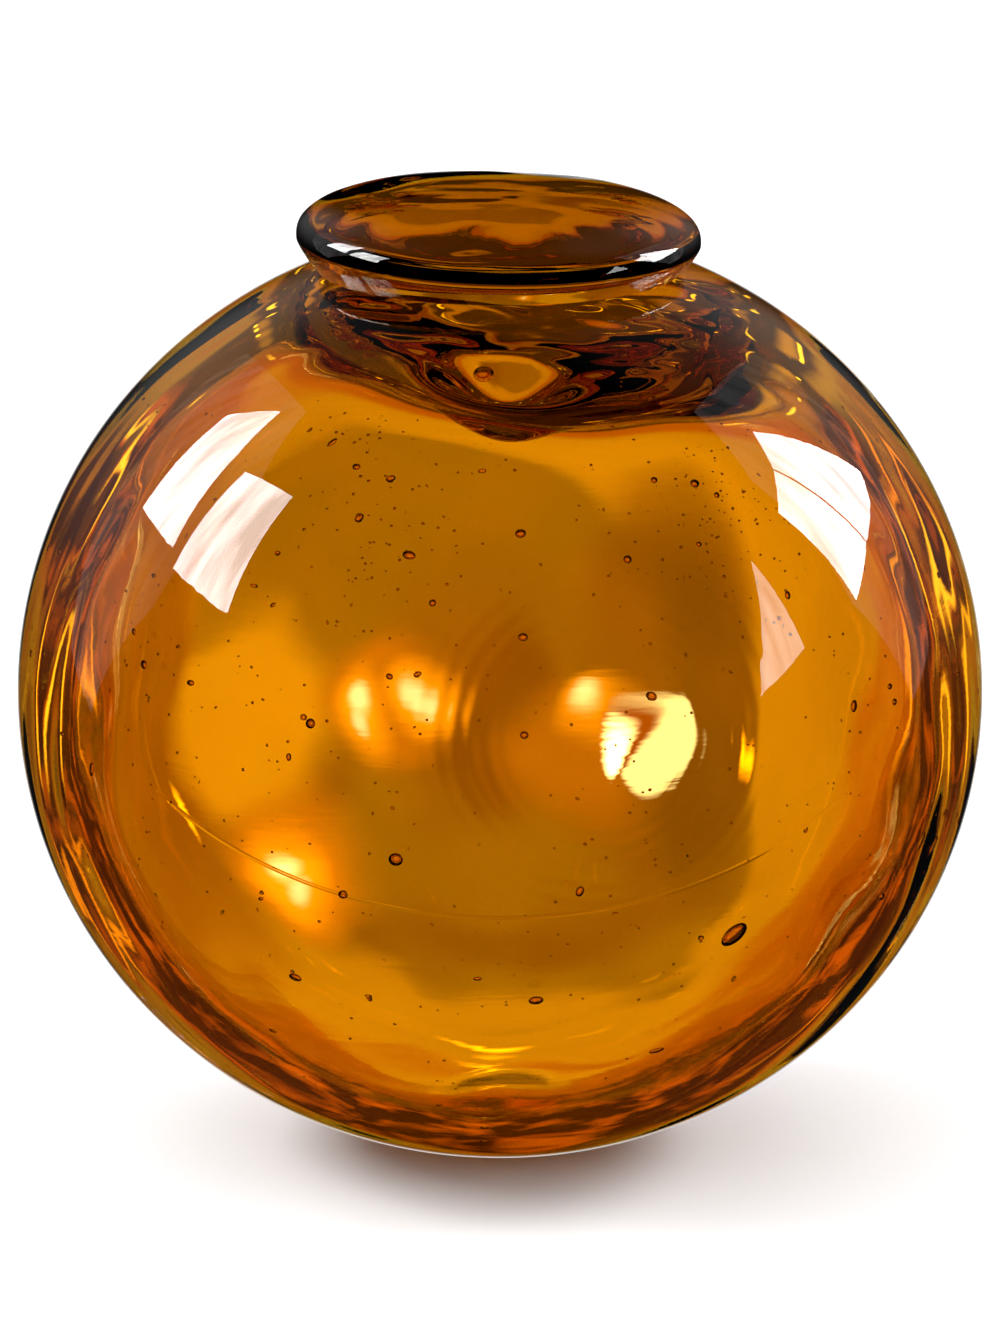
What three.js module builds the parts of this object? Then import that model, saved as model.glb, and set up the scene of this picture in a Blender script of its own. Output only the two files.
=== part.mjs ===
// Blown glass float ball with its seal button, in millimetres, +Z up.
//
// The ball is blown a little oblate and pulled off the blowpipe. A second gob of hot glass
// is pressed over the hole as a thick lens, the seal button. The air inside is sealed in,
// so both pieces are solids here. The ball stands on a small flat spot under its bottom
// pole. The origin is the centre of that flat spot.

import * as THREE from "three";

// Driving dimensions
const BALL_RADIUS = 40; // at the equator
const BALL_OBLATENESS = 0.967; // polar radius over equatorial radius
const FOOT_RADIUS = 6.5; // flat spot that the ball stands on

const BUTTON_RADIUS = 16.7; // at the rim
const BUTTON_OFFSET = new THREE.Vector2(-0.4, 0); // the gob landed beside the ball's axis
const RIM_HEIGHT = 0.96; // rim above the ball's centre, as a share of BALL_RADIUS
const BUTTON_CROWN = 3.8; // height of the domed top over the rim
const BUTTON_KEEL = 6.1; // depth of the full underside below the rim, before the weld cuts it
const SAG_DEPTH = 0.45; // how far the rim droops on its low side
const SAG_BULGE = 0.35; // how far the low side has run outwards
const SAG_BEARING = THREE.MathUtils.degToRad(-35); // direction of the low side, from +X

const TURN_SEGMENTS = 72; // around the axis
const BALL_STEPS = 40; // along the ball's profile
const BUTTON_STEPS = 9; // along each half of the button's profile

// Worked out from the driving dimensions
const POLAR_RADIUS = BALL_RADIUS * BALL_OBLATENESS;
const CENTRE_HEIGHT = POLAR_RADIUS * Math.sqrt(1 - (FOOT_RADIUS / BALL_RADIUS) ** 2);
const RIM_Z = CENTRE_HEIGHT + RIM_HEIGHT * BALL_RADIUS;

// Radius of the ball at a height over its centre.
const ballRadiusAt = (rise) => BALL_RADIUS * Math.sqrt(1 - (rise / POLAR_RADIUS) ** 2);

// Radius of the button's underside at a depth below its rim.
const keelRadiusAt = (depth) => BUTTON_RADIUS * Math.sqrt(1 - (depth / BUTTON_KEEL) ** 2);

// Depth below the rim at which the button's underside meets the ball, by bisection.
function findWeldDepth() {
  const rimRise = RIM_Z - CENTRE_HEIGHT;
  let [shallow, deep] = [rimRise - POLAR_RADIUS + BALL_RADIUS * 0.02, BUTTON_KEEL];
  while (deep - shallow > 1e-6) {
    const depth = (shallow + deep) / 2;
    if (keelRadiusAt(depth) > ballRadiusAt(rimRise - depth)) shallow = depth;
    else deep = depth;
  }
  return deep;
}

const WELD_DEPTH = findWeldDepth();
const WELD_Z = RIM_Z - WELD_DEPTH;
const WELD_RADIUS = keelRadiusAt(WELD_DEPTH);

// A closed solid of revolution about +Z, from (radius, height) points between the two axis points.
function turned(points) {
  const geometry = new THREE.LatheGeometry(points, TURN_SEGMENTS);
  return geometry.rotateX(Math.PI / 2);
}

// Points of an elliptical arc between two angles from the equator, in radians.
function ellipseArc(radius, rise, centreZ, from, to, steps) {
  return Array.from({ length: steps + 1 }, (_, i) => {
    const angle = THREE.MathUtils.lerp(from, to, i / steps);
    return new THREE.Vector2(radius * Math.cos(angle), centreZ + rise * Math.sin(angle));
  });
}

// The ball: flat foot, oblate wall, and a flat seat at the top where the button is welded on.
function makeBall() {
  const footAngle = -Math.acos(FOOT_RADIUS / BALL_RADIUS);
  const seatAngle = Math.asin((WELD_Z - CENTRE_HEIGHT) / POLAR_RADIUS);
  const wall = ellipseArc(
    BALL_RADIUS, POLAR_RADIUS, CENTRE_HEIGHT, footAngle, seatAngle, BALL_STEPS,
  );
  wall[0].y = 0;
  wall[BALL_STEPS].y = WELD_Z;
  return turned([new THREE.Vector2(0, 0), ...wall, new THREE.Vector2(0, WELD_Z)]);
}

// The button: a lens whose underside curls in to the weld. Its low side has sagged and run out.
function makeButton() {
  const weldAngle = -Math.asin(WELD_DEPTH / BUTTON_KEEL);
  const underside = ellipseArc(
    BUTTON_RADIUS, BUTTON_KEEL, RIM_Z, weldAngle, 0, BUTTON_STEPS,
  );
  underside[0].y = WELD_Z;
  const crown = ellipseArc(
    BUTTON_RADIUS, BUTTON_CROWN, RIM_Z, 0, Math.PI / 2, BUTTON_STEPS * 2,
  ).slice(1);
  crown.at(-1).x = 0;
  const geometry = turned([new THREE.Vector2(0, WELD_Z), ...underside, ...crown]);
  sagButton(geometry);
  return geometry.translate(BUTTON_OFFSET.x, BUTTON_OFFSET.y, 0);
}

// Droops the button's low side and pushes it outwards, fading to nothing at the weld and the axis.
function sagButton(geometry) {
  const position = geometry.getAttribute("position");
  for (let i = 0; i < position.count; i++) {
    const [x, y, z] = [position.getX(i), position.getY(i), position.getZ(i)];
    const reach = Math.hypot(x, y) / BUTTON_RADIUS;
    const aboveWeld = THREE.MathUtils.smoothstep(z, WELD_Z, RIM_Z);
    const lowSide = Math.cos(Math.atan2(y, x) - SAG_BEARING);
    const share = lowSide * reach ** 2 * aboveWeld;
    const spread = 1 + (SAG_BULGE * share) / BUTTON_RADIUS;
    position.setXYZ(i, x * spread, y * spread, z - SAG_DEPTH * share);
  }
}

function addPiece(parent, name, geometry, colour) {
  const material = new THREE.MeshStandardMaterial({
    color: colour,
    roughness: 0.04,
    metalness: 0,
    transparent: true,
    opacity: 0.6,
  });
  const mesh = new THREE.Mesh(geometry, material);
  mesh.name = name;
  parent.add(mesh);
}

const float = new THREE.Group();
float.name = "glass_float_ball";
addPiece(float, "glass_ball", makeBall(), 0xe08a10);
addPiece(float, "seal_button", makeButton(), 0xa85208);

console.log(
  `weld radius ${WELD_RADIUS.toFixed(2)} mm at height ${WELD_Z.toFixed(2)} mm, ` +
    `total height ${(RIM_Z + BUTTON_CROWN).toFixed(2)} mm`,
);

export default float;
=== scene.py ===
import math
import random
from collections import namedtuple

import bmesh
import bpy
from mathutils import Matrix, Vector, noise


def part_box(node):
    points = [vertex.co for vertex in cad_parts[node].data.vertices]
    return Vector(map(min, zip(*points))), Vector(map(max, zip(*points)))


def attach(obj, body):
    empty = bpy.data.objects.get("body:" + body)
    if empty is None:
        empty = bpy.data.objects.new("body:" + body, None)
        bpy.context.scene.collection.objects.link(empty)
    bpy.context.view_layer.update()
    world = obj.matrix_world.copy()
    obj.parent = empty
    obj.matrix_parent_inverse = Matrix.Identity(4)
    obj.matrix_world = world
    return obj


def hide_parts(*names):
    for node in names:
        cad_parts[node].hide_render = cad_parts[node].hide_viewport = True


bl_info = {
    "name": "Glass float ball",
    "version": (1, 0, 0),
    "blender": (4, 5, 0),
    "location": "3D View > Sidebar > Glass float",
    "description": "Blown amber glass float with its seal button, on a pale studio floor",
    "category": "Object",
}

MM = 0.001

# Settings that many shader nodes share.
TIMES = {"operation": "MULTIPLY"}
PLUS = {"operation": "ADD"}
SMOOTH = {"interpolation_type": "SMOOTHSTEP"}
RING_A_UNIT = 0.31  # scale at which a wave texture's rings are about one unit apart

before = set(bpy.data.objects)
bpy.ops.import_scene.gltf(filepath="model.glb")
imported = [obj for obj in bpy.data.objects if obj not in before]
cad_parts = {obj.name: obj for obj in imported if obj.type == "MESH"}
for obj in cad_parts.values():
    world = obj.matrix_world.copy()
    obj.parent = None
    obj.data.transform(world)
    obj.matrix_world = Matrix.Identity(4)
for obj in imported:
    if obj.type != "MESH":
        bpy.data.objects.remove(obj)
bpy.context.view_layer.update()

BALL_LOW, BALL_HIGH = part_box("glass_ball")
BALL_RADIUS = (BALL_HIGH.x - BALL_LOW.x) / 2
WELD_Z = BALL_HIGH.z
TOP_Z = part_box("seal_button")[1].z


def to_linear(hex_colour, brightness=1):
    """Linear RGB of an sRGB hex colour such as "E08A10", made brighter or darker."""
    channels = [int(hex_colour[i : i + 2], 16) / 255 for i in (0, 2, 4)]
    linear = [c / 12.92 if c <= 0.04045 else ((c + 0.055) / 1.055) ** 2.4 for c in channels]
    return [brightness * channel for channel in linear]


def smoothstep(value, low, high):
    """0 below low, 1 above high and a smooth rise between them."""
    t = min(max((value - low) / (high - low), 0), 1)
    return t * t * (3 - 2 * t)


def smooth_min(a, b, width):
    """The smaller of two heights, rounded where they cross."""
    h = max(width - abs(a - b), 0) / width
    return min(a, b) - h * h * width / 4


def hump(x, y, centre_x, centre_y, half_x, half_y):
    """A smooth hump, 1 at its centre and 0 past its half widths."""
    reach = math.hypot((x - centre_x) / half_x, (y - centre_y) / half_y)
    return 0.5 + 0.5 * math.cos(math.pi * min(reach, 1))


def unevenness(depth, *place):
    """Smooth random rise and fall of at most the depth; it changes over about one unit of place."""
    return depth * noise.noise(Vector(place))


def facing(bearing, latitude):
    """Unit vector at a bearing from the front, towards +X, and a latitude, in degrees."""
    turn, rise = math.radians(bearing), math.radians(latitude)
    return Vector(
        (math.sin(turn) * math.cos(rise), -math.cos(turn) * math.cos(rise), math.sin(rise))
    )


class FloatSizes(bpy.types.PropertyGroup):
    """Sizes of the float; shares are of the ball's radius."""

    oblateness: bpy.props.FloatProperty(
        name="Oblateness",
        description="Polar radius of the ball over its equatorial radius",
        default=0.967,
        min=0.9,
        max=1,
        subtype="FACTOR",
    )
    foot_radius: bpy.props.FloatProperty(
        name="Foot radius",
        description="Flat spot that the ball stands on",
        default=6.5 * MM,
        unit="LENGTH",
    )
    rim_height: bpy.props.FloatProperty(
        name="Rim height",
        description="Button's rim above the ball's centre, as a share",
        default=0.955,
    )
    button_radius: bpy.props.FloatProperty(
        name="Button radius",
        description="Seal button at its rim",
        default=16.7 * MM,
        unit="LENGTH",
    )
    button_shift: bpy.props.FloatProperty(
        name="Button shift",
        description="How far the gob landed beside the ball's axis, along X",
        default=-0.4 * MM,
        unit="LENGTH",
    )
    keel_power: bpy.props.FloatProperty(
        name="Keel power",
        description="Roundness of the button's underside: 2 is an ellipse, 1 is a cone",
        default=1.3,
        min=1,
        max=2,
    )
    crown_power: bpy.props.FloatProperty(
        name="Crown power",
        description="Roundness of the button's top: 2 is an ellipse, more is squarer at the rim",
        default=2.6,
        min=1.5,
        max=4,
    )
    sag_depth: bpy.props.FloatProperty(
        name="Sag depth",
        description="How far the rim droops on its low side",
        default=0.45 * MM,
        unit="LENGTH",
    )
    sag_bulge: bpy.props.FloatProperty(
        name="Sag bulge",
        description="How far the low side has run outwards",
        default=0.35 * MM,
        unit="LENGTH",
    )
    sag_bearing: bpy.props.FloatProperty(
        name="Sag bearing",
        description="Direction of the button's low side, from +X",
        default=math.radians(-35),
        subtype="ANGLE",
    )
    cavity_radius: bpy.props.FloatProperty(
        name="Cavity radius",
        description="Inner radius, as a share",
        default=0.873,
        subtype="FACTOR",
        min=0.5,
        max=0.95,
    )
    cavity_height: bpy.props.FloatProperty(
        name="Cavity height",
        description="Polar radius of the cavity over its equatorial radius",
        default=0.99,
        subtype="FACTOR",
        min=0.8,
        max=1,
    )
    ceiling: bpy.props.FloatProperty(
        name="Ceiling",
        description="Height of the cavity's flat ceiling above the centre, as a share",
        default=0.742,
    )
    drip: bpy.props.FloatProperty(
        name="Drip",
        description="How far the drip of the seal hangs below the ceiling, as a share",
        default=0.092,
    )


class FloatColours(bpy.types.PropertyGroup):
    """Colours of the glass."""

    surface: bpy.props.FloatVectorProperty(
        name="Surface",
        description="Tint that light takes at the skin of the glass",
        subtype="COLOR",
        size=3,
        default=to_linear("FACD42"),
    )
    body: bpy.props.FloatVectorProperty(
        name="Body",
        description="What the body of the glass lets through, before its density",
        subtype="COLOR",
        size=3,
        default=to_linear("EBDA00"),
    )
    density: bpy.props.FloatProperty(
        name="Density",
        description="Absorption for a metre of glass",
        default=150,
    )


def new_object(name, bm, material, smooth=True):
    """An object at the origin from a bmesh, which is freed."""
    mesh = bpy.data.meshes.new(name)
    bm.to_mesh(mesh)
    bm.free()
    if smooth:
        mesh.shade_smooth()
    mesh.materials.append(material)
    obj = bpy.data.objects.new(name, mesh)
    bpy.context.scene.collection.objects.link(obj)
    return obj


def new_material(name):
    """A material with an empty node tree."""
    material = bpy.data.materials.new(name)
    material.use_nodes = True
    material.node_tree.nodes.clear()
    return material


def add_node(tree, kind, settings=None, numbered=None, **named):
    """Adds a node with its settings. Its inputs, by number and name, take a socket or a value."""
    node = tree.nodes.new(kind)
    for key, value in (settings or {}).items():
        setattr(node, key, value)
    inputs = dict(numbered or {})
    inputs.update((name.replace("_", " "), value) for name, value in named.items())
    for key, value in inputs.items():
        if isinstance(value, bpy.types.NodeSocket):
            tree.links.new(value, node.inputs[key])
        else:
            node.inputs[key].default_value = value
    return node


def swirl_height(tree, place, middle):
    """Fine rings about a place on the front, where the gathers of glass lapped over.

    They lie in a band: none in the middle, and none far out.
    """
    apart, radius, peak = 1.5 * MM, 7 * MM, 1.6
    centred = add_node(
        tree,
        "ShaderNodeMapping",
        Vector=place,
        Location=-middle / apart,
        Scale=(1 / apart, 1 / apart, 1 / apart),
    )
    rings = add_node(
        tree,
        "ShaderNodeTexWave",
        {"wave_type": "RINGS", "rings_direction": "SPHERICAL"},
        Vector=centred.outputs[0],
        Scale=RING_A_UNIT,
        Distortion=2.0,
        Detail=2.0,
    )
    away = add_node(
        tree, "ShaderNodeVectorMath", {"operation": "DISTANCE"}, {0: place, 1: middle}
    )
    rise = add_node(
        tree,
        "ShaderNodeMapRange",
        Value=away.outputs["Value"],
        From_Min=radius,
        From_Max=1.4 * radius,
        To_Max=peak,
    )
    fall = add_node(
        tree,
        "ShaderNodeMapRange",
        Value=away.outputs["Value"],
        From_Min=2.4 * radius,
        From_Max=1.6 * radius,
    )
    band = add_node(tree, "ShaderNodeMath", TIMES, {0: rise.outputs[0], 1: fall.outputs[0]})
    swirl = add_node(tree, "ShaderNodeMath", TIMES, {0: rings.outputs["Fac"], 1: band.outputs[0]})
    return swirl.outputs[0]


def thread_height(tree, place, centre):
    """A hair-thin raised thread of glass across the front, under the middle.

    It lies where a plane cuts the skin: across is square to the plane.
    """
    across = Vector((0.006, -0.617, 0.787))
    plane_offset = 0.411 * BALL_RADIUS + across.z * centre.z
    half_width, peak = 0.2 * MM, 3
    along = add_node(
        tree, "ShaderNodeVectorMath", {"operation": "DOT_PRODUCT"}, {0: place, 1: across}
    )
    off = add_node(
        tree,
        "ShaderNodeMath",
        {"operation": "SUBTRACT"},
        {0: along.outputs["Value"], 1: plane_offset},
    )
    far = add_node(tree, "ShaderNodeMath", {"operation": "ABSOLUTE"}, {0: off.outputs[0]})
    ridge = add_node(
        tree,
        "ShaderNodeMapRange",
        SMOOTH,
        Value=far.outputs[0],
        From_Min=half_width,
        From_Max=0,
        To_Max=peak,
    )
    axes = add_node(tree, "ShaderNodeSeparateXYZ", Vector=place)
    front = add_node(
        tree,
        "ShaderNodeMapRange",
        Value=axes.outputs["Y"],
        From_Min=-0.7 * BALL_RADIUS,
        From_Max=-0.85 * BALL_RADIUS,
    )
    thread = add_node(tree, "ShaderNodeMath", TIMES, {0: ridge.outputs[0], 1: front.outputs[0]})
    return thread.outputs[0]


def soda_lime_glass():
    """Amber soda-lime glass, free-blown and fire-polished.

    It is mirror smooth and clear, and darker where it is thick. Cords, the faint threads of
    unevenly mixed glass, lie round the axis and bend what is seen through the wall by a hair.
    """
    colours = bpy.context.scene.float_colours
    material = new_material("amber_soda_lime_glass")
    tree = material.node_tree
    place = add_node(tree, "ShaderNodeTexCoord").outputs["Object"]
    cord_width, cord_length, cord_depth = 2.2 * MM, 14 * MM, 0.004 * MM
    lie = add_node(
        tree,
        "ShaderNodeMapping",
        Vector=place,
        Scale=(1 / cord_length, 1 / cord_length, 1 / cord_width),
        Rotation=(math.radians(12), math.radians(-9), 0),
    )
    cords = add_node(
        tree,
        "ShaderNodeTexNoise",
        Vector=lie.outputs[0],
        Scale=1.0,
        Detail=2.0,
        Roughness=0.5,
        Distortion=1.2,
    )
    # The swirl and the thread are on the outer skin only.
    centre = Vector((0, 0, centre_height(bpy.context.scene.float_sizes)))
    away = add_node(
        tree, "ShaderNodeVectorMath", {"operation": "DISTANCE"}, {0: place, 1: centre}
    )
    outer = add_node(
        tree,
        "ShaderNodeMapRange",
        Value=away.outputs["Value"],
        From_Min=0.9 * BALL_RADIUS,
        From_Max=0.95 * BALL_RADIUS,
    )
    swirl = swirl_height(tree, place, centre + facing(12, 8) * BALL_RADIUS)
    thread = thread_height(tree, place, centre)
    marks = add_node(tree, "ShaderNodeMath", PLUS, {0: swirl, 1: thread})
    outer_marks = add_node(
        tree, "ShaderNodeMath", TIMES, {0: marks.outputs[0], 1: outer.outputs[0]}
    )
    height = add_node(
        tree, "ShaderNodeMath", PLUS, {0: cords.outputs["Fac"], 1: outer_marks.outputs[0]}
    )
    ripple = add_node(
        tree, "ShaderNodeBump", Strength=1.0, Distance=cord_depth, Height=height.outputs[0]
    )
    shader = add_node(
        tree,
        "ShaderNodeBsdfPrincipled",
        Base_Color=(*colours.surface, 1),
        Roughness=0,
        IOR=1.5,
        Transmission_Weight=1,
        Normal=ripple.outputs[0],
    )
    absorption = add_node(
        tree, "ShaderNodeVolumeAbsorption", Color=(*colours.body, 1), Density=colours.density
    )
    add_node(
        tree,
        "ShaderNodeOutputMaterial",
        Surface=shader.outputs[0],
        Volume=absorption.outputs[0],
    )
    return material


def centre_height(sizes):
    """Height of the ball's centre over its foot."""
    return sizes.oblateness * BALL_RADIUS * math.sqrt(1 - (sizes.foot_radius / BALL_RADIUS) ** 2)


def outer_profile(sizes):
    """The outline in (radius, height): foot, ball, neck at the weld, button's underside, crown."""
    centre = centre_height(sizes)
    polar = sizes.oblateness * BALL_RADIUS
    foot, rim = sizes.foot_radius, sizes.button_radius
    rim_z = centre + sizes.rim_height * BALL_RADIUS
    foot_steps, ball_steps, keel_steps, crown_steps = 5, 96, 14, 30
    points = [(foot * i / foot_steps, 0) for i in range(foot_steps)]
    start, end = -math.acos(foot / BALL_RADIUS), math.asin((WELD_Z - centre) / polar)
    for i in range(ball_steps + 1):
        angle = start + (end - start) * i / ball_steps
        points.append((BALL_RADIUS * math.cos(angle), centre + polar * math.sin(angle)))
    # The underside is a superellipse from the weld up to the rim, with its points closer
    # together towards the rim.
    weld_radius, depth = points[-1][0], rim_z - WELD_Z
    power, crowding = sizes.keel_power, 1.5
    keel = depth / (1 - (weld_radius / rim) ** power) ** (1 / power)
    for i in range(1, keel_steps + 1):
        drop = depth * (1 - i / keel_steps) ** crowding
        points.append((rim * (1 - (drop / keel) ** power) ** (1 / power), rim_z - drop))
    for i in range(1, crown_steps + 1):
        angle = math.pi / 2 * i / crown_steps
        reach = max(math.cos(angle), 0) ** (2 / sizes.crown_power)
        rise = math.sin(angle) ** (2 / sizes.crown_power)
        points.append((rim * reach, rim_z + (TOP_Z - rim_z) * rise))
    return [(max(radius, 0), height) for radius, height in points]


def spin_profile(bm, points, steps):
    """Turns a profile of (radius, height) points about +Z into a closed skin."""
    verts = [bm.verts.new((radius, 0, height)) for radius, height in points]
    edges = [bm.edges.new(pair) for pair in zip(verts, verts[1:])]
    bmesh.ops.spin(
        bm,
        geom=verts + edges,
        cent=(0, 0, 0),
        axis=(0, 0, 1),
        angle=math.tau,
        steps=steps,
        use_merge=True,
    )
    bmesh.ops.remove_doubles(bm, verts=bm.verts, dist=1e-6)
    bmesh.ops.recalc_face_normals(bm, faces=bm.faces)


def shape_button(bm, sizes):
    """Shifts the button off the axis, lets its low side droop, and dents its hand-pressed top."""
    rim_z = centre_height(sizes) + sizes.rim_height * BALL_RADIUS
    dent_depth, dent_width = 0.3 * MM, 9 * MM
    for vert in bm.verts:
        x, y, z = vert.co
        above = smoothstep(z, WELD_Z - 0.8 * MM, rim_z)
        if above == 0:
            continue
        reach = math.hypot(x, y) / sizes.button_radius
        share = math.cos(math.atan2(y, x) - sizes.sag_bearing) * reach**2 * above
        spread = 1 + sizes.sag_bulge * share / sizes.button_radius
        on_top = smoothstep(z, rim_z + 0.6 * MM, TOP_Z - 0.4 * MM)
        dents = smoothstep(noise.noise(Vector((x, y, 0)) / dent_width), 0, 0.7)
        left_flat = hump(x, y, -9.5 * MM, 1 * MM, 5 * MM, 9 * MM)
        drop = on_top * dent_depth * (0.6 * dents + left_flat)
        vert.co = (
            x * spread + sizes.button_shift * above,
            y * spread,
            min(z - sizes.sag_depth * share - drop, TOP_Z),
        )


def make_skin(bm, sizes):
    """The outside of the float, with a sharp crease where the button is welded on."""
    spin_profile(bm, outer_profile(sizes), steps=168)
    for edge in bm.edges:
        if all(abs(v.co.z - WELD_Z) < 0.01 * MM for v in edge.verts):
            edge.smooth = False
    shape_button(bm, sizes)


def ceiling_at(sizes, x, y):
    """Height of the cavity's ceiling over the centre, as a share, at a place in shares.

    It rises to the left and the back, it is lumpy, and its middle, under the seal, is in folds
    that lie from side to side.
    """
    tilt = -0.11 * x + 0.10 * y
    lumps = unevenness(0.018, x * 3.1, y * 3.1, 4.2)
    under_seal = 1 - smoothstep(math.hypot(x, y), 0.25, 0.5)
    folds = unevenness(0.008, x * 5, y * 11, 1.7)
    threads = unevenness(0.003, x * 11, y * 27, 6.1)
    # The drip fans out of the middle of the seal, narrows to its front end and hangs there in a
    # small drop.
    front_end, widening = -0.36, 0.9
    half_width = 0.19 + widening * max(y - front_end, 0)
    half_depth = 0.17 if y < front_end else 0.5
    fan = hump(x, y, 0.01, front_end, half_width, half_depth) ** 0.7
    drop = hump(x, y, 0.0, -0.38, 0.16, 0.11) ** 0.8
    drip = sizes.drip * (0.4 * fan + 0.6 * drop)
    return sizes.ceiling + tilt + lumps + under_seal * (folds + threads) - drip


def wall_wave(place):
    """How far the inner wall leaves a true ball, as a share, at a place in shares.

    The front and the back are calm. Long ripples lie round the sides, the bottom and the
    shoulder, where the hot ball was turned on the blocks.
    """
    x, y, z = place
    calm = unevenness(0.006, *(place * 2.2)) + unevenness(0.003, *(place * 5))
    rippled = smoothstep(math.hypot(x, z), 0.74, 0.87)
    ripples = unevenness(0.0045, 2.2 * x, 7 * y, 2.2 * z) + unevenness(0.0014, 4 * x, 18 * y, 4 * z)
    return calm + rippled * ripples


def make_cavity(sizes):
    """The sealed air space: nearly a ball, flat under the crown, with the drip of the seal."""
    bm = bmesh.new()
    centre, corner = centre_height(sizes), 0.07
    bmesh.ops.create_uvsphere(bm, u_segments=300, v_segments=190, radius=sizes.cavity_radius)
    for vert in bm.verts:
        vert.co.z *= sizes.cavity_height
        x, y, z = vert.co * (1 + wall_wave(vert.co))
        if z > 0:
            z = smooth_min(z, ceiling_at(sizes, x, y), corner)
        vert.co = (x * BALL_RADIUS, y * BALL_RADIUS, z * BALL_RADIUS + centre)
    bmesh.ops.recalc_face_normals(bm, faces=bm.faces)
    return bm


# Seeds are the air bubbles in the wall: bearing and latitude, length in mm, how many times longer
# than wide, and the turn of the long side from level, in degrees.
Seed = namedtuple("Seed", "bearing latitude length stretch turn")
SEEDS = (
    Seed(32, -20, 2.5, 1.6, 40),
    Seed(-60, -3, 1.2, 2.0, 75),
    Seed(49, 7, 1.0, 1.5, 70),
    Seed(-13, -8, 1.2, 1.1, 0),
    Seed(-20, -13, 0.8, 1.1, 20),
    Seed(-29, -26, 1.1, 1.6, -15),
    Seed(5, -28, 1.2, 1.5, 5),
    Seed(25, -38, 1.3, 2.4, 15),
    Seed(71, -15, 1.6, 2.2, 60),
    Seed(3, 33, 0.9, 1.2, 10),
    Seed(3, 20, 0.8, 1.2, 0),
    Seed(-13, 30, 1.1, 1.5, -10),
    Seed(-24, 41, 0.7, 1.2, 0),
    Seed(-9, 24, 0.6, 1.0, 0),
    Seed(32, 38, 0.8, 1.1, 0),
    Seed(35, 36, 0.5, 1.0, 0),
    Seed(25, 39, 0.6, 1.1, 30),
    Seed(41, 22, 0.7, 1.3, 80),
    Seed(57, 6, 0.6, 1.1, 0),
    Seed(10, -12, 0.9, 1.3, 70),
    Seed(-3, -24, 0.7, 1.8, 5),
    Seed(3, 8, 0.7, 1.1, 0),
    Seed(18, 29, 0.7, 1.0, 0),
    Seed(-30, 44, 1.0, 2.2, 55),
)

# Clouds of fine seeds: bearing and latitude of the middle, spread in degrees and count.
Cloud = namedtuple("Cloud", "bearing latitude spread count")
CLOUDS = (
    Cloud(33, 33, 9, 130),
    Cloud(-14, 31, 6, 60),
    Cloud(-25, 42, 5, 30),
    Cloud(15, -5, 22, 110),
    Cloud(-38, 5, 12, 50),
)

# Flat folds of air in the button: bearing in degrees and count.
SEAL_FOLDS = ((-80, 26), (-100, 14), (70, 10), (110, 8), (-130, 5))


def add_bubble(bm, matrix, detail):
    """Adds a small closed bubble of air."""
    bmesh.ops.create_icosphere(bm, subdivisions=detail, radius=1, matrix=matrix)


def in_wall(sizes, bearing, latitude, depth, length, stretch, turn):
    """Matrix of a bubble in the wall; depth runs from 0 at the inner to 1 at the outer skin."""
    outwards = facing(bearing, latitude)
    inner = sizes.cavity_radius * BALL_RADIUS
    outer = sizes.oblateness * BALL_RADIUS
    centre = Vector((0, 0, centre_height(sizes)))
    place = centre + outwards * (inner + (outer - inner) * depth)
    stand = outwards.to_track_quat("Z", "Y").to_matrix().to_4x4()
    width, flatness = length / stretch, 0.8
    size = Matrix.Diagonal((length / 2, width / 2, width / 2 * flatness, 1))
    return Matrix.Translation(place) @ stand @ Matrix.Rotation(math.radians(turn), 4, "Z") @ size


def add_seeds(bm, sizes):
    """The listed seeds, the clouds of fine ones, and a thin scatter through the whole wall."""
    draw = random.Random(7)
    for seed in SEEDS:
        depth = draw.uniform(0.4, 0.6)
        length = seed.length * MM
        matrix = in_wall(
            sizes, seed.bearing, seed.latitude, depth, length, seed.stretch, seed.turn
        )
        add_bubble(bm, matrix, 3)

    def fine_seed(bearing, latitude):
        length = draw.uniform(0.12, 0.36) * MM
        stretch = draw.uniform(1, 1.6)
        depth, turn = draw.uniform(0.15, 0.85), draw.uniform(-40, 40)
        add_bubble(bm, in_wall(sizes, bearing, latitude, depth, length, stretch, turn), 1)

    for cloud in CLOUDS:
        for _ in range(cloud.count):
            bearing = draw.gauss(cloud.bearing, cloud.spread)
            fine_seed(bearing, draw.gauss(cloud.latitude, cloud.spread))
    scattered, larger_share, middle_depth = 520, 0.12, 0.5
    for _ in range(scattered):
        bearing = draw.uniform(-180, 180)
        latitude = math.degrees(math.asin(draw.uniform(-0.9, 0.68)))
        if draw.random() < larger_share:
            length = draw.uniform(0.4, 0.9) * MM
            stretch, turn = draw.uniform(1, 1.8), draw.uniform(-40, 40)
            place = in_wall(sizes, bearing, latitude, middle_depth, length, stretch, turn)
            add_bubble(bm, place, 2)
        else:
            fine_seed(bearing, latitude)


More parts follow.
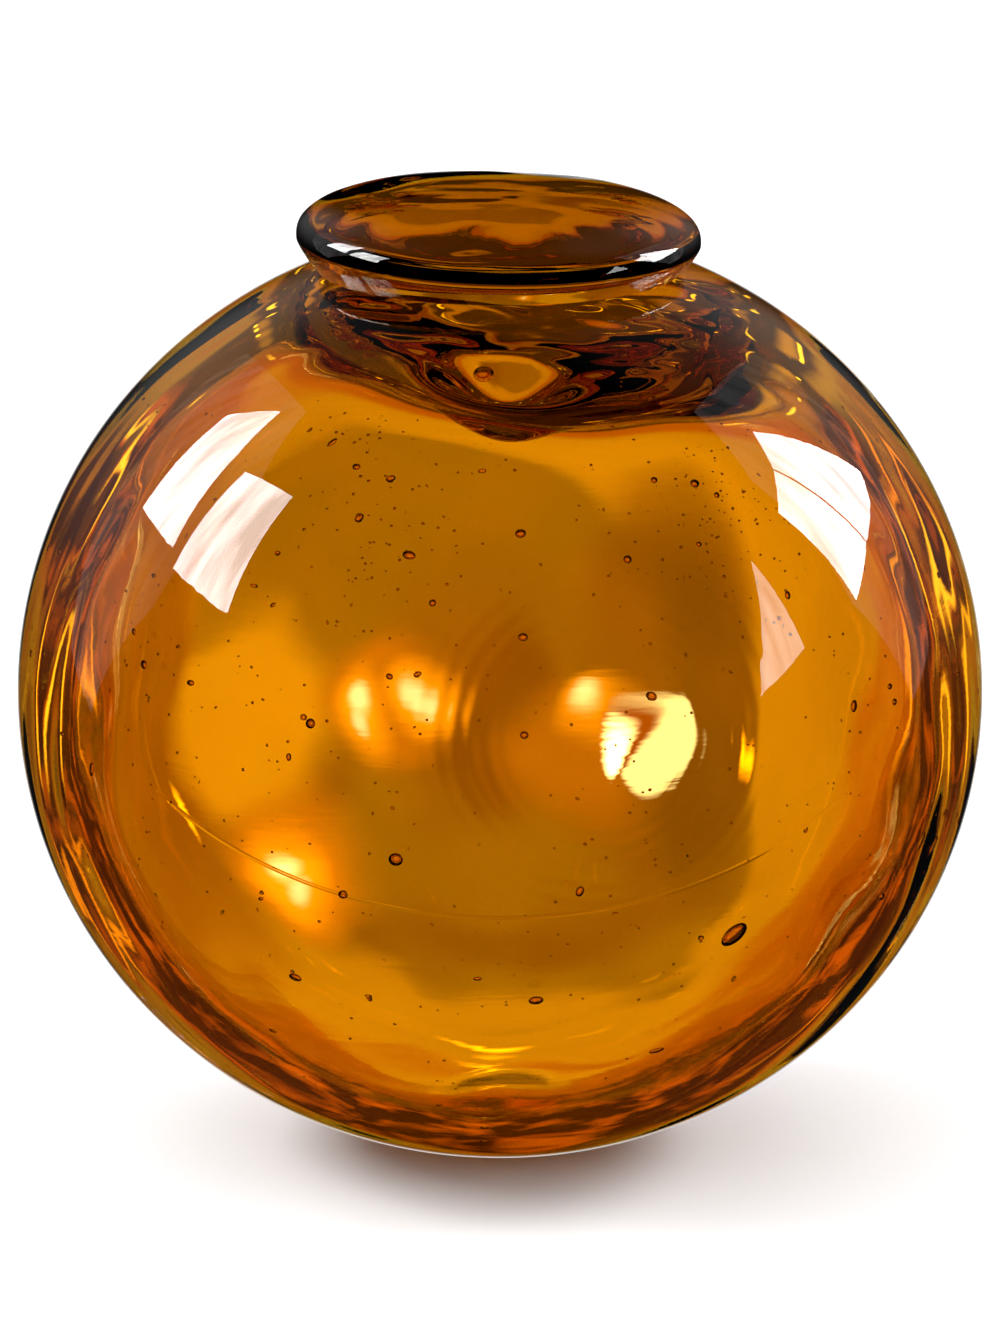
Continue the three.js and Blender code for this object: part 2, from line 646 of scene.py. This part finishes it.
def add_seal_bubbles(bm, sizes):
    """Air caught by the seal: one bubble in the drip, and flat folds in the button."""
    centre = centre_height(sizes)
    rim_z = centre + sizes.rim_height * BALL_RADIUS
    in_drip = Vector((-0.03 * BALL_RADIUS, -0.36 * BALL_RADIUS, centre + 0.68 * BALL_RADIUS))
    drip_bubble = Matrix.Diagonal((0.8 * MM, 0.7 * MM, 0.7 * MM, 1))
    add_bubble(bm, Matrix.Translation(in_drip) @ drip_bubble, 3)
    draw = random.Random(11)
    spread, most_tumble, thickness = 8, 0.7, 0.08 * MM
    for bearing, count in SEAL_FOLDS:
        for _ in range(count):
            turn = math.radians(bearing + draw.gauss(0, spread))
            reach = draw.uniform(8, 12) * MM
            height = rim_z + draw.uniform(0, 2.2) * MM
            place = Vector((math.sin(turn) * reach, -math.cos(turn) * reach, height))
            tumble = Matrix.Rotation(draw.uniform(-most_tumble, most_tumble), 4, "X")
            tumble @= Matrix.Rotation(draw.uniform(-most_tumble, most_tumble), 4, "Y")
            long, wide = draw.uniform(0.4, 1.6) * MM, draw.uniform(0.2, 0.7) * MM
            size = Matrix.Diagonal((long, wide, thickness, 1))
            add_bubble(bm, Matrix.Translation(place) @ tumble @ size, 2)


def hollow_out(bm, air):
    """Puts closed air spaces into the glass, with their faces turned to point into the air."""
    bmesh.ops.reverse_faces(air, faces=air.faces)
    mesh = bpy.data.meshes.new("air")
    air.to_mesh(mesh)
    air.free()
    bm.from_mesh(mesh)
    bpy.data.meshes.remove(mesh)


class MakeFloatGlass(bpy.types.Operator):
    """Models the fused ball and button as one body of glass round its sealed air space"""

    bl_idname = "glass_float.make_glass"
    bl_label = "Make the glass"

    def execute(self, context):
        sizes = context.scene.float_sizes
        bm = bmesh.new()
        make_skin(bm, sizes)
        hollow_out(bm, make_cavity(sizes))
        bubbles = bmesh.new()
        add_seeds(bubbles, sizes)
        add_seal_bubbles(bubbles, sizes)
        hollow_out(bm, bubbles)
        glass = new_object("float_glass", bm, soda_lime_glass())
        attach(glass, "root")
        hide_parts("glass_ball", "seal_button")
        return {"FINISHED"}


CAMERA_ELEVATION = math.radians(13.5)
CAMERA_DISTANCE = 30 * BALL_RADIUS
BALL_SHARE = 0.483  # the ball's radius in the camera's view, as a share of the view's width
AIM_HEIGHT = 0.053 * BALL_RADIUS  # over the ball's centre

# Patches of light and shade on the backdrop, each laid over those before it: middle and half sizes
# in mm from the point behind the ball's centre, turn in degrees, softness of the edge, colour and
# brightness.
Patch = namedtuple("Patch", "x y half_width half_height turn softness colour brightness")
LAMP, WHITE, WARM, BOARD = "101AFF", "FFFFFF", "FFEBCC", "F3F3F3"
GOLD, AMBER, ORANGE, UMBER = "FFDDA8", "FFC48C", "FFB870", "B8A06C"
DARK_UMBER, EMBER, SAND = "593219", "FF8F3E", "FFDDAD"
PATCHES = (
    # the lit middle and the dark overhead
    Patch(0, 175, 220, 90, 0, 0.25, UMBER, 0.30),
    Patch(-62, 72, 30, 26, 0, 0.6, WARM, 0.7),
    Patch(66, 74, 30, 26, 0, 0.6, WARM, 0.9),
    Patch(0, 0, 87, 79, 0, 0.12, AMBER, 0.9),
    Patch(0, 0, 64, 58, 0, 0.12, WHITE, 1.1),
    Patch(52, 150, 22, 15, 0, 0.7, GOLD, 1.1),
    Patch(-60, 138, 15, 14, 0, 0.7, GOLD, 0.8),
    # small lamps overhead and high at the sides
    Patch(66, 130, 4, 5, 0, 0.6, WHITE, 5),
    Patch(-66, 126, 4, 5, 0, 0.6, WHITE, 5),
    Patch(105, 158, 4, 5, 0, 0.6, WHITE, 6),
    Patch(-142, 134, 6, 5, 0, 0.6, WHITE, 5),
    Patch(-30, 122, 9, 4, 0, 0.6, WHITE, 4),
    Patch(110, 215, 10, 8, 0, 0.6, WHITE, 6),
    Patch(-104, 205, 8, 10, 0, 0.6, WHITE, 6),
    # broad shades and lights
    Patch(-58, -4, 22, 52, 8, 0.35, GOLD, 0.62),
    Patch(-10, 13, 36, 16, -24, 0.5, WHITE, 0.76),
    Patch(21, 27, 24, 11, -42, 0.5, WHITE, 1.2),
    Patch(-3, -6, 45, 28, -45, 0.06, WHITE, 0.62),
    Patch(19, -3, 11, 24, 0, 0.4, WARM, 0.50),
    Patch(26, -3, 8, 21, 0, 0.4, WARM, 0.38),
    Patch(-30, -16, 14, 4.5, 38, 0.5, WARM, 0.55),
    Patch(-2, -3, 12, 14, 0, 0.6, WARM, 0.58),
    Patch(1, -4, 6, 11, 0, 0.35, GOLD, 0.44),
    Patch(2, -28, 26, 5, 4, 0.7, WARM, 0.50),
    # the lit left side and the glow in the middle
    Patch(-33.5, -3, 12, 13, -20, 0.25, WHITE, 1.35),
    Patch(-13.5, -1, 9.2, 7.5, 0, 0.35, GOLD, 1.05),
    Patch(-27.5, -23, 9, 8, 10, 0.6, GOLD, 1.5),
    Patch(0, -47, 30, 7, 0, 0.6, WHITE, 1.2),
    Patch(9, -8, 7, 6, 0, 0.8, GOLD, 0.9),
    # small lamps, each in its halo; the lamps are blue, which the amber glass turns to cream
    Patch(-16.6, -2.4, 3.4, 4.4, 0, 0.8, WARM, 2.6),
    Patch(-16.3, -1.2, 1.7, 1.9, 0, 0.7, LAMP, 500),
    Patch(-16.9, -4.3, 1.2, 1.3, 0, 0.7, LAMP, 400),
    Patch(-7.7, -0.5, 3.2, 2.6, 0, 0.8, WARM, 2.4),
    Patch(-7.7, -0.3, 1.4, 1.2, 0, 0.7, LAMP, 450),
    Patch(11.8, -2.4, 2.6, 2.6, 0, 0.8, WARM, 2.4),
    Patch(11.6, -2.2, 1.3, 1.4, 0, 0.9, LAMP, 500),
    Patch(17.8, -5.8, 4.1, 4.9, -15, 0.12, LAMP, 550),
    Patch(14.2, -5.6, 1.3, 3.6, -28, 0.3, ORANGE, 0.7),
    Patch(13.4, -6.4, 0.9, 2.5, -28, 0.4, LAMP, 2000),
    Patch(30.6, -9.0, 1.4, 2.6, 0, 0.9, WARM, 6),
    Patch(-28.2, -23.2, 4.2, 4.6, 20, 0.8, WARM, 3),
    Patch(-29.0, -21.8, 1.5, 1.5, 0, 0.9, LAMP, 700),
    Patch(-27.4, -24.9, 1.2, 1.2, 0, 0.9, LAMP, 500),
    Patch(-45, -17, 1.0, 3.0, 15, 0.8, WHITE, 5),
    Patch(-2, -49.5, 5, 1.5, 0, 0.8, WHITE, 5),
    Patch(-5, -56, 3, 1.0, 0, 0.8, WHITE, 4),
    # lamps beside the backdrop's lit middle
    Patch(-108, 2, 3.5, 16, 2, 0.9, WARM, 4),
    Patch(-106, 52, 4, 18, -26, 0.9, WARM, 4),
    Patch(-84, -42, 3, 12, 27, 0.9, ORANGE, 2.5),
    Patch(84, -2, 3, 12, 0, 0.9, WARM, 3.5),
    Patch(104, 26, 3.5, 14, 14, 0.9, WARM, 3.5),
    Patch(90, 44, 3, 10, 26, 0.9, ORANGE, 2.5),
    Patch(76, -76, 3, 12, -45, 0.9, ORANGE, 2),
)


def backdrop_material():
    """Glowing card painted as lit cloth: a grey-white painted lit middle with painted soft shades
    and small lamps, and past it a dim umber painted shade streaked with painted orange light.
    """
    material = new_material("lit_backdrop")
    tree = material.node_tree
    flat = add_node(tree, "ShaderNodeUVMap", {"uv_map": "millimetres"}).outputs[0]
    # The patches' edges are drawn a few millimetres uneven, like cloth that hangs in folds.
    fold_size, fold_depth, streak_size = 14, 5, 24
    folds = add_node(tree, "ShaderNodeTexNoise", Vector=flat, Scale=1 / fold_size, Detail=1.0)
    shift = add_node(
        tree,
        "ShaderNodeVectorMath",
        {"operation": "MULTIPLY_ADD"},
        {0: folds.outputs["Color"], 1: (fold_depth, fold_depth, 0), 2: flat},
    )
    centred = add_node(
        tree,
        "ShaderNodeMapping",
        Vector=shift.outputs[0],
        Location=(-fold_depth / 2, -fold_depth / 2, 0),
    )
    place = centred.outputs[0]
    streaks = add_node(
        tree, "ShaderNodeTexNoise", Vector=place, Scale=1 / streak_size, Detail=2.0, Roughness=0.6
    )
    streak_share = add_node(
        tree,
        "ShaderNodeMapRange",
        Value=streaks.outputs["Fac"],
        From_Min=0.48,
        From_Max=0.68,
    )
    # Past the patches: a dim umber glow, a painted shade, with streaks of painted orange light.
    surround = add_node(
        tree,
        "ShaderNodeMix",
        {"data_type": "RGBA"},
        {6: (*to_linear(DARK_UMBER), 1), 7: (*to_linear(EMBER, 1.05), 1)},
        Factor=streak_share.outputs[0],
    )
    light = surround.outputs[2]
    for patch in PATCHES:
        mapping = add_node(
            tree,
            "ShaderNodeMapping",
            {"vector_type": "TEXTURE"},
            Vector=place,
            Location=(patch.x, patch.y, 0),
            Rotation=(0, 0, math.radians(patch.turn)),
            Scale=(patch.half_width, patch.half_height, 1),
        )
        away = add_node(
            tree, "ShaderNodeVectorMath", {"operation": "LENGTH"}, Vector=mapping.outputs[0]
        )
        edge = add_node(
            tree,
            "ShaderNodeMapRange",
            SMOOTH,
            Value=away.outputs["Value"],
            From_Min=1 + patch.softness,
            From_Max=1 - patch.softness,
        )
        cover = add_node(
            tree,
            "ShaderNodeMix",
            {"data_type": "RGBA"},
            {6: light, 7: (*to_linear(patch.colour, patch.brightness), 1)},
            Factor=edge.outputs[0],
        )
        light = cover.outputs[2]
    glow = add_node(tree, "ShaderNodeEmission", Color=light, Strength=1.0)
    add_node(tree, "ShaderNodeOutputMaterial", Surface=glow.outputs[0])
    return material


def add_backdrop(centre):
    """A card square to the view behind the ball, seen only through the glass."""
    distance, half_size = 120 * MM, 280 * MM
    forward = Vector((0, math.cos(CAMERA_ELEVATION), -math.sin(CAMERA_ELEVATION)))
    bm = bmesh.new()
    bmesh.ops.create_grid(bm, x_segments=1, y_segments=1, size=half_size)
    uv = bm.loops.layers.uv.new("millimetres")
    for face in bm.faces:
        for loop in face.loops:
            loop[uv].uv = loop.vert.co.xy / MM
    stand = Matrix.Translation(centre + forward * distance)
    stand @= Matrix.Rotation(math.pi / 2 - CAMERA_ELEVATION, 4, "X")
    bmesh.ops.transform(bm, matrix=stand, verts=bm.verts)
    card = new_object("backdrop", bm, backdrop_material(), smooth=False)
    card.visible_camera = card.visible_diffuse = card.visible_shadow = False
    card.visible_glossy = False


# Panes of light on the two side walls: name, side, brightness and corners. A corner is its place
# along +Y and its height over the ball's centre, both as shares of the wall's distance.
Pane = namedtuple("Pane", "name side brightness corners")
WALL_DISTANCE = 0.6
PANES = (
    Pane(
        "pane_left_back",
        -1,
        22,
        ((0.53, 0.44), (0.69, 0.95), (0.48, 1.29), (0.31, 0.92), (0.16, 0.45)),
    ),
    Pane("pane_left_front", -1, 22, ((0.16, 0.92), (-0.21, 1.10), (-0.31, 0.40), (0.09, 0.40))),
    Pane(
        "pane_right_back",
        1,
        22,
        ((0.44, 1.03), (0.82, 0.47), (0.67, 0.40), (0.43, 0.35), (0.27, 0.84)),
    ),
    Pane("pane_right_front", 1, 22, ((0.26, 0.83), (0.42, 0.35), (0.16, 0.25), (0.055, 0.70))),
    Pane("pane_right_low", 1, 8, ((-0.27, 0.66), (-0.21, 0.22), (-0.52, 0.12))),
)

# The dim walls behind the panes, laid out the same way, farther off.
FAR_WALL_DISTANCE = 1.3 * WALL_DISTANCE
WALL_BACK = ((0.4, 1.5), (1.5, 1.1), (1.09, 0.51), (0.84, 0.22), (0.65, -0.04))
WALLS = (
    Pane("wall_left", -1, 0.5, ((0.38, -0.14), (0.10, 0.25), (0.0, 0.9), *WALL_BACK)),
    Pane("wall_right", 1, 0.5, ((0.42, -0.12), (0.14, 0.25), (0.1, 0.9), *WALL_BACK)),
)


def pane_material(pane):
    """Window light on white cloth: bright, with soft streaks along its slope."""
    material = new_material("lit_cloth_" + pane.name)
    tree = material.node_tree
    place = add_node(tree, "ShaderNodeTexCoord").outputs["Object"]
    slope = add_node(
        tree,
        "ShaderNodeMapping",
        Vector=place,
        Rotation=(math.radians(35), 0, 0),
        Scale=(1, 14, 2.5),
    )
    streaks = add_node(
        tree,
        "ShaderNodeTexNoise",
        Vector=slope.outputs[0],
        Scale=1.0,
        Detail=3.0,
        Roughness=0.6,
    )
    dimmest = 0.45
    strength = add_node(
        tree,
        "ShaderNodeMapRange",
        Value=streaks.outputs["Fac"],
        From_Min=0.35,
        From_Max=0.62,
        To_Min=dimmest * pane.brightness,
        To_Max=pane.brightness,
    )
    light = add_node(
        tree,
        "ShaderNodeEmission",
        Color=(*to_linear(WHITE), 1),
        Strength=strength.outputs[0],
    )
    add_node(tree, "ShaderNodeOutputMaterial", Surface=light.outputs[0])
    return material


def add_pane(pane, centre, distance):
    """A flat pane on a side wall, seen only in the gloss of the glass and on the floor."""
    bm = bmesh.new()
    corners = [
        bm.verts.new(centre + distance * Vector((pane.side, along, up)))
        for along, up in pane.corners
    ]
    bm.faces.new(corners)
    bmesh.ops.triangulate(bm, faces=bm.faces)
    wall = new_object(pane.name, bm, pane_material(pane), smooth=False)
    wall.visible_camera = wall.visible_transmission = wall.visible_shadow = False


def light_through(tree, way, axes):
    """Brightness of the room through the glass: bright near the level, dark overhead, uneven."""
    overhead = 0.12
    rise = add_node(
        tree,
        "ShaderNodeMapRange",
        SMOOTH,
        Value=axes["Z"],
        From_Min=0.62,
        From_Max=0.2,
        To_Min=overhead,
        To_Max=1.0,
    )
    clouds = add_node(tree, "ShaderNodeTexNoise", Vector=way, Scale=2.2, Detail=1.0)
    uneven = add_node(
        tree,
        "ShaderNodeMapRange",
        Value=clouds.outputs["Fac"],
        From_Min=0.4,
        From_Max=0.6,
        To_Min=0.35,
        To_Max=1.3,
    )
    through = add_node(tree, "ShaderNodeMath", TIMES, {0: rise.outputs[0], 1: uneven.outputs[0]})
    return through.outputs[0]


def light_in_gloss(tree, way, axes):
    """Brightness of the room in the gloss of the glass.

    It is black but for a grey at the back corners, which grows with height and fades again high
    up, and a white straight behind the ball.
    """
    corner_grey, straight_behind = 0.27, 0.8
    grey = add_node(
        tree,
        "ShaderNodeMapRange",
        SMOOTH,
        Value=axes["Z"],
        From_Min=-0.2,
        From_Max=0.4,
        To_Min=0.01,
        To_Max=corner_grey,
    )
    at_back = add_node(
        tree, "ShaderNodeMapRange", SMOOTH, Value=axes["Y"], From_Min=0.1, From_Max=0.6
    )
    aside = add_node(tree, "ShaderNodeMath", {"operation": "ABSOLUTE"}, {0: axes["X"]})
    at_side = add_node(
        tree, "ShaderNodeMapRange", SMOOTH, Value=aside.outputs[0], From_Min=0.08, From_Max=0.32
    )
    back_corner = add_node(
        tree, "ShaderNodeMath", TIMES, {0: at_side.outputs[0], 1: at_back.outputs[0]}
    )
    not_high = add_node(
        tree,
        "ShaderNodeMapRange",
        SMOOTH,
        Value=axes["Z"],
        From_Min=0.75,
        From_Max=0.45,
        To_Min=0.3,
    )
    level_grey = add_node(
        tree, "ShaderNodeMath", TIMES, {0: grey.outputs[0], 1: not_high.outputs[0]}
    )
    back_grey = add_node(
        tree, "ShaderNodeMath", TIMES, {0: level_grey.outputs[0], 1: back_corner.outputs[0]}
    )
    behind = add_node(
        tree,
        "ShaderNodeVectorMath",
        {"operation": "DOT_PRODUCT"},
        {0: way, 1: (0, math.cos(CAMERA_ELEVATION), -math.sin(CAMERA_ELEVATION))},
    )
    white_behind = add_node(
        tree,
        "ShaderNodeMapRange",
        SMOOTH,
        Value=behind.outputs["Value"],
        From_Min=0.975,
        From_Max=0.995,
        To_Max=straight_behind,
    )
    gloss = add_node(
        tree,
        "ShaderNodeMath",
        {"operation": "MAXIMUM"},
        {0: back_grey.outputs[0], 1: white_behind.outputs[0]},
    )
    return gloss.outputs[0]


def studio_air():
    """The room: white to the camera and on the floor, dark in the gloss, warm through the glass."""
    world = bpy.data.worlds.new("studio_air")
    world.use_nodes = True
    tree = world.node_tree
    tree.nodes.clear()
    ray = add_node(tree, "ShaderNodeLightPath").outputs
    way = add_node(tree, "ShaderNodeTexCoord").outputs["Generated"]
    axes = add_node(tree, "ShaderNodeSeparateXYZ", Vector=way).outputs
    inner = add_node(
        tree,
        "ShaderNodeMix",
        {"data_type": "FLOAT"},
        {2: light_in_gloss(tree, way, axes), 3: light_through(tree, way, axes)},
        Factor=ray["Is Transmission Ray"],
    )
    lit = add_node(
        tree,
        "ShaderNodeMath",
        {"operation": "MAXIMUM"},
        {0: ray["Is Camera Ray"], 1: ray["Is Diffuse Ray"]},
    )
    open_light = 1.15
    level = add_node(
        tree,
        "ShaderNodeMix",
        {"data_type": "FLOAT"},
        {2: inner.outputs[0], 3: open_light},
        Factor=lit.outputs[0],
    )
    hue = add_node(
        tree,
        "ShaderNodeMix",
        {"data_type": "RGBA"},
        {6: (*to_linear(WHITE), 1), 7: (*to_linear(SAND), 1)},
        Factor=ray["Is Transmission Ray"],
    )
    air = add_node(tree, "ShaderNodeBackground", Color=hue.outputs[2], Strength=level.outputs[0])
    add_node(tree, "ShaderNodeOutputWorld", Surface=air.outputs[0])
    return world


def add_floor():
    """A wide matt white board."""
    material = new_material("matt_white_board")
    tree = material.node_tree
    board = add_node(tree, "ShaderNodeBsdfDiffuse", Color=(*to_linear(BOARD), 1))
    add_node(tree, "ShaderNodeOutputMaterial", Surface=board.outputs[0])
    bm = bmesh.new()
    bmesh.ops.create_grid(bm, x_segments=1, y_segments=1, size=4)
    floor = new_object("floor", bm, material, smooth=False)
    floor.visible_glossy = floor.visible_transmission = False


def add_camera(scene, centre):
    """The camera, a long way off, looking down on the ball."""
    data = bpy.data.cameras.new("camera")
    camera = bpy.data.objects.new("camera", data)
    scene.collection.objects.link(camera)
    back = Vector((0, -math.cos(CAMERA_ELEVATION), math.sin(CAMERA_ELEVATION)))
    camera.location = centre + Vector((0, 0, AIM_HEIGHT)) + CAMERA_DISTANCE * back
    camera.rotation_euler = (math.pi / 2 - CAMERA_ELEVATION, 0, 0)
    data.sensor_fit = "HORIZONTAL"
    half_angle = math.asin(BALL_RADIUS / CAMERA_DISTANCE)
    data.lens = BALL_SHARE * data.sensor_width / math.tan(half_angle)
    data.clip_start = 0.01
    scene.camera = camera


class MakeStage(bpy.types.Operator):
    """Sets the pale floor, the lit backdrop, the side walls' panes, the room and the camera"""

    bl_idname = "glass_float.make_stage"
    bl_label = "Make the stage"

    def execute(self, context):
        scene = context.scene
        centre = Vector((0, 0, centre_height(scene.float_sizes)))
        add_floor()
        add_backdrop(centre)
        for pane in PANES:
            add_pane(pane, centre, WALL_DISTANCE)
        for wall in WALLS:
            add_pane(wall, centre, FAR_WALL_DISTANCE)
        scene.world = studio_air()
        add_camera(scene, centre)
        scene.view_settings.view_transform = "Standard"
        scene.cycles.max_bounces = 20
        scene.cycles.transmission_bounces = 20
        scene.cycles.glossy_bounces = 12
        return {"FINISHED"}


class FloatPanel(bpy.types.Panel):
    """Holds the buttons that make the float's glass and its stage"""

    bl_idname = "VIEW3D_PT_glass_float"
    bl_label = "Glass float"
    bl_space_type = "VIEW_3D"
    bl_region_type = "UI"
    bl_category = "Glass float"

    def draw(self, context):
        for operator in (MakeFloatGlass, MakeStage):
            self.layout.operator(operator.bl_idname)


CLASSES = (FloatSizes, FloatColours, MakeFloatGlass, MakeStage, FloatPanel)


def register():
    for cls in CLASSES:
        bpy.utils.register_class(cls)
    bpy.types.Scene.float_sizes = bpy.props.PointerProperty(type=FloatSizes)
    bpy.types.Scene.float_colours = bpy.props.PointerProperty(type=FloatColours)


def unregister():
    del bpy.types.Scene.float_colours
    del bpy.types.Scene.float_sizes
    for cls in reversed(CLASSES):
        bpy.utils.unregister_class(cls)


def main():
    register()
    bpy.ops.glass_float.make_glass()
    bpy.ops.glass_float.make_stage()


if __name__ == "__main__":
    main()
